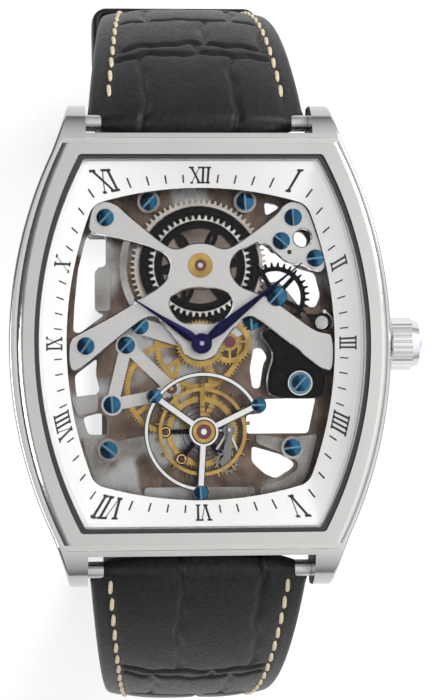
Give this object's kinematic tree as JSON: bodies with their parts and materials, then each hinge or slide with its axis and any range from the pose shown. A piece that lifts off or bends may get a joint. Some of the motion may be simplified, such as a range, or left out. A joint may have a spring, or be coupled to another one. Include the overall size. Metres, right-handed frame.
{
  "type": "tonneau wristwatch",
  "caption": "Tonneau-shaped skeleton wristwatch with a tourbillon, Roman chapter ring and a curled black leather strap with a tang buckle.",
  "frame": {"origin": "middle of the case back's outer face", "axes": "+Z out of the dial, +Y towards twelve o'clock, +X towards the crown"},
  "size_m": [0.0441, 0.085, 0.0741],
  "materials": {
    "polished_steel": "mirror polished steel",
    "plain_steel": "plain turned steel",
    "satin_silver": "satin nickel with bright bevels",
    "silver_dial": "matt silver with black numerals",
    "black_steel": "black polished steel",
    "gold": "gilt brass",
    "blued_steel": "heat-blued steel",
    "ruby": "polished synthetic ruby",
    "clear_glass": "clear sapphire",
    "black_rubber": "black rubber",
    "blue_stone": "polished blue stone",
    "black_leather": "charcoal-black grained leather"
  },
  "bodies": {
    "case": {"case_middle": "polished_steel", "bezel": "polished_steel", "crystal": "clear_glass", "crystal_gasket": "black_rubber", "chapter_ring": "silver_dial", "case_back": "polished_steel", "case_back_glass": "clear_glass", "case_back_gasket": "black_rubber", "case_back_screws": "plain_steel", "pendant_tube": "polished_steel", "spring_bars": "plain_steel", "movement_holder": "plain_steel", "main_plate": "satin_silver", "top_bridge": "satin_silver", "bridge_screws": "blued_steel", "centre_bridge": "satin_silver", "train_bridge": "satin_silver", "small_screws": "blued_steel", "keyless_cover": "black_steel", "click_spring": "plain_steel", "fixed_seconds_wheel": "gold", "tourbillon_bridge": "polished_steel", "tourbillon_posts": "plain_steel", "jewels": "ruby", "chatons": "gold"},
    "strap_short_half": {"strap_12": "black_leather", "fixed_keeper": "black_leather", "buckle_bar": "plain_steel"},
    "strap_long_half": {"strap_6": "black_leather"},
    "loose_keeper": {"sliding_keeper": "black_leather"},
    "buckle": {"buckle_frame": "polished_steel"},
    "tongue": {"buckle_tongue": "polished_steel"},
    "crown_slide_body": {"crown_gasket": "black_rubber"},
    "crown_and_stem": {"crown": "polished_steel", "crown_cabochon": "blue_stone", "winding_stem": "plain_steel"},
    "winding_pinion_body": {"winding_pinion": "plain_steel"},
    "transmission_body": {"transmission_wheel": "black_steel"},
    "crown_wheel_body": {"crown_wheel": "black_steel"},
    "ratchet_body": {"ratchet_wheel": "black_steel", "barrel_arbor": "plain_steel"},
    "click_body": {"click": "plain_steel"},
    "centre_body": {"centre_wheel": "gold", "cannon_pinion": "gold", "minute_hand": "blued_steel"},
    "hour_body": {"hour_wheel": "gold", "hour_hand": "blued_steel"},
    "minute_wheel_body": {"minute_wheel": "gold"},
    "barrel_body": {"barrel_drum": "gold", "barrel_cover": "black_steel", "mainspring": "plain_steel"},
    "third_body": {"third_wheel": "gold"},
    "carriage_body": {"carriage": "black_steel", "carriage_bridge": "satin_silver", "pallet_bridge": "satin_silver", "hairspring": "blued_steel"},
    "escape_body": {"escape_wheel": "plain_steel"},
    "fork_body": {"pallet_fork": "plain_steel"},
    "balance_body": {"balance_wheel": "gold", "balance_staff": "plain_steel"}
  },
  "joints": [
    {"name": "strap_short_pivot", "type": "hinge", "parent": "case", "child": "strap_short_half", "pos_m": [0, 0.024, 0.0025], "axis": [1, 0, 0], "range_deg": [0, 55]},
    {"name": "strap_long_pivot", "type": "hinge", "parent": "case", "child": "strap_long_half", "pos_m": [0, -0.024, 0.0025], "axis": [-1, 0, 0], "range_deg": [0, 55]},
    {"name": "loose_keeper_slide", "type": "hinge", "parent": "strap_short_half", "child": "loose_keeper", "pos_m": [0, 0, -0.02912], "axis": [-1, 0, 0], "range_deg": [-7, 5]},
    {"name": "buckle_pivot", "type": "hinge", "parent": "strap_short_half", "child": "buckle", "pos_m": [0, 0.02561, -0.05782], "axis": [1, 0, 0], "range_deg": [-60, 15]},
    {"name": "tongue_pivot", "type": "hinge", "parent": "buckle", "child": "tongue", "pos_m": [0, 0.02561, -0.05782], "axis": [1, 0, 0], "range_deg": [0, 100]},
    {"name": "crown_pull", "type": "slide", "parent": "case", "child": "crown_slide_body", "axis": [1, 0, 0], "range_m": [0, 0.0012]},
    {"name": "crown_turn", "type": "hinge", "parent": "crown_slide_body", "child": "crown_and_stem", "pos_m": [0.0205, 0, 0.005], "axis": [1, 0, 0], "continuous": true},
    {"name": "winding_pinion_turn", "type": "hinge", "parent": "case", "child": "winding_pinion_body", "pos_m": [0.01014, 0, 0.005], "axis": [1, 0, 0], "continuous": true},
    {"name": "transmission_turn", "type": "hinge", "parent": "case", "child": "transmission_body", "pos_m": [0.01014, 0, 0.0066], "axis": [0, 0, 1], "continuous": true},
    {"name": "crown_wheel_turn", "type": "hinge", "parent": "case", "child": "crown_wheel_body", "pos_m": [0.00803, 0.005, 0.0066], "axis": [0, 0, 1], "continuous": true},
    {"name": "ratchet_turn", "type": "hinge", "parent": "case", "child": "ratchet_body", "pos_m": [0, 0.0083, 0.0066], "axis": [0, 0, 1], "continuous": true},
    {"name": "click_pivot", "type": "hinge", "parent": "case", "child": "click_body", "pos_m": [0.01295, 0.00224, 0.0066], "axis": [0, 0, 1], "range_deg": [0, 12], "stiffness_Nm_per_rad": 0.00002},
    {"name": "minute_turn", "type": "hinge", "parent": "case", "child": "centre_body", "pos_m": [0, 0, 0.0094], "axis": [0, 0, -1], "continuous": true},
    {"name": "hour_turn", "type": "hinge", "parent": "case", "child": "hour_body", "pos_m": [0, 0, 0.0089], "axis": [0, 0, -1], "continuous": true},
    {"name": "minute_wheel_turn", "type": "hinge", "parent": "case", "child": "minute_wheel_body", "pos_m": [0.00314, 0.00024, 0.0064], "axis": [0, 0, -1], "continuous": true},
    {"name": "barrel_turn", "type": "hinge", "parent": "case", "child": "barrel_body", "pos_m": [0, 0.0083, 0.005], "axis": [0, 0, -1], "continuous": true},
    {"name": "third_wheel_turn", "type": "hinge", "parent": "case", "child": "third_body", "pos_m": [-0.00296, -0.00465, 0.0039], "axis": [0, 0, -1], "continuous": true},
    {"name": "carriage_turn", "type": "hinge", "parent": "case", "child": "carriage_body", "pos_m": [0.00023, -0.00926, 0.005], "axis": [0, 0, -1], "continuous": true},
    {"name": "escape_turn", "type": "hinge", "parent": "carriage_body", "child": "escape_body", "pos_m": [0.00279, -0.01254, 0.0052], "axis": [0, 0, -1], "continuous": true},
    {"name": "fork_swing", "type": "hinge", "parent": "carriage_body", "child": "fork_body", "pos_m": [0.00309, -0.00908, 0.0052], "axis": [0, 0, -1], "range_deg": [-5, 5]},
    {"name": "balance_swing", "type": "hinge", "parent": "carriage_body", "child": "balance_body", "pos_m": [0.00023, -0.00926, 0.006], "axis": [0, 0, -1], "range_deg": [-270, 270]}
  ],
  "couplings": [
    {"joint": "winding_pinion_turn", "follows": "crown_turn", "ratio": 1},
    {"joint": "transmission_turn", "follows": "crown_turn", "ratio": -0.77778},
    {"joint": "crown_wheel_turn", "follows": "crown_turn", "ratio": 0.4375},
    {"joint": "ratchet_turn", "follows": "crown_turn", "ratio": -0.29167},
    {"joint": "hour_turn", "follows": "minute_turn", "ratio": 0.083333},
    {"joint": "minute_wheel_turn", "follows": "minute_turn", "ratio": -0.33333},
    {"joint": "barrel_turn", "follows": "minute_turn", "ratio": -0.16667},
    {"joint": "third_wheel_turn", "follows": "minute_turn", "ratio": -6.6667},
    {"joint": "carriage_turn", "follows": "minute_turn", "ratio": 60},
    {"joint": "escape_turn", "follows": "minute_turn", "ratio": 720}
  ]
}
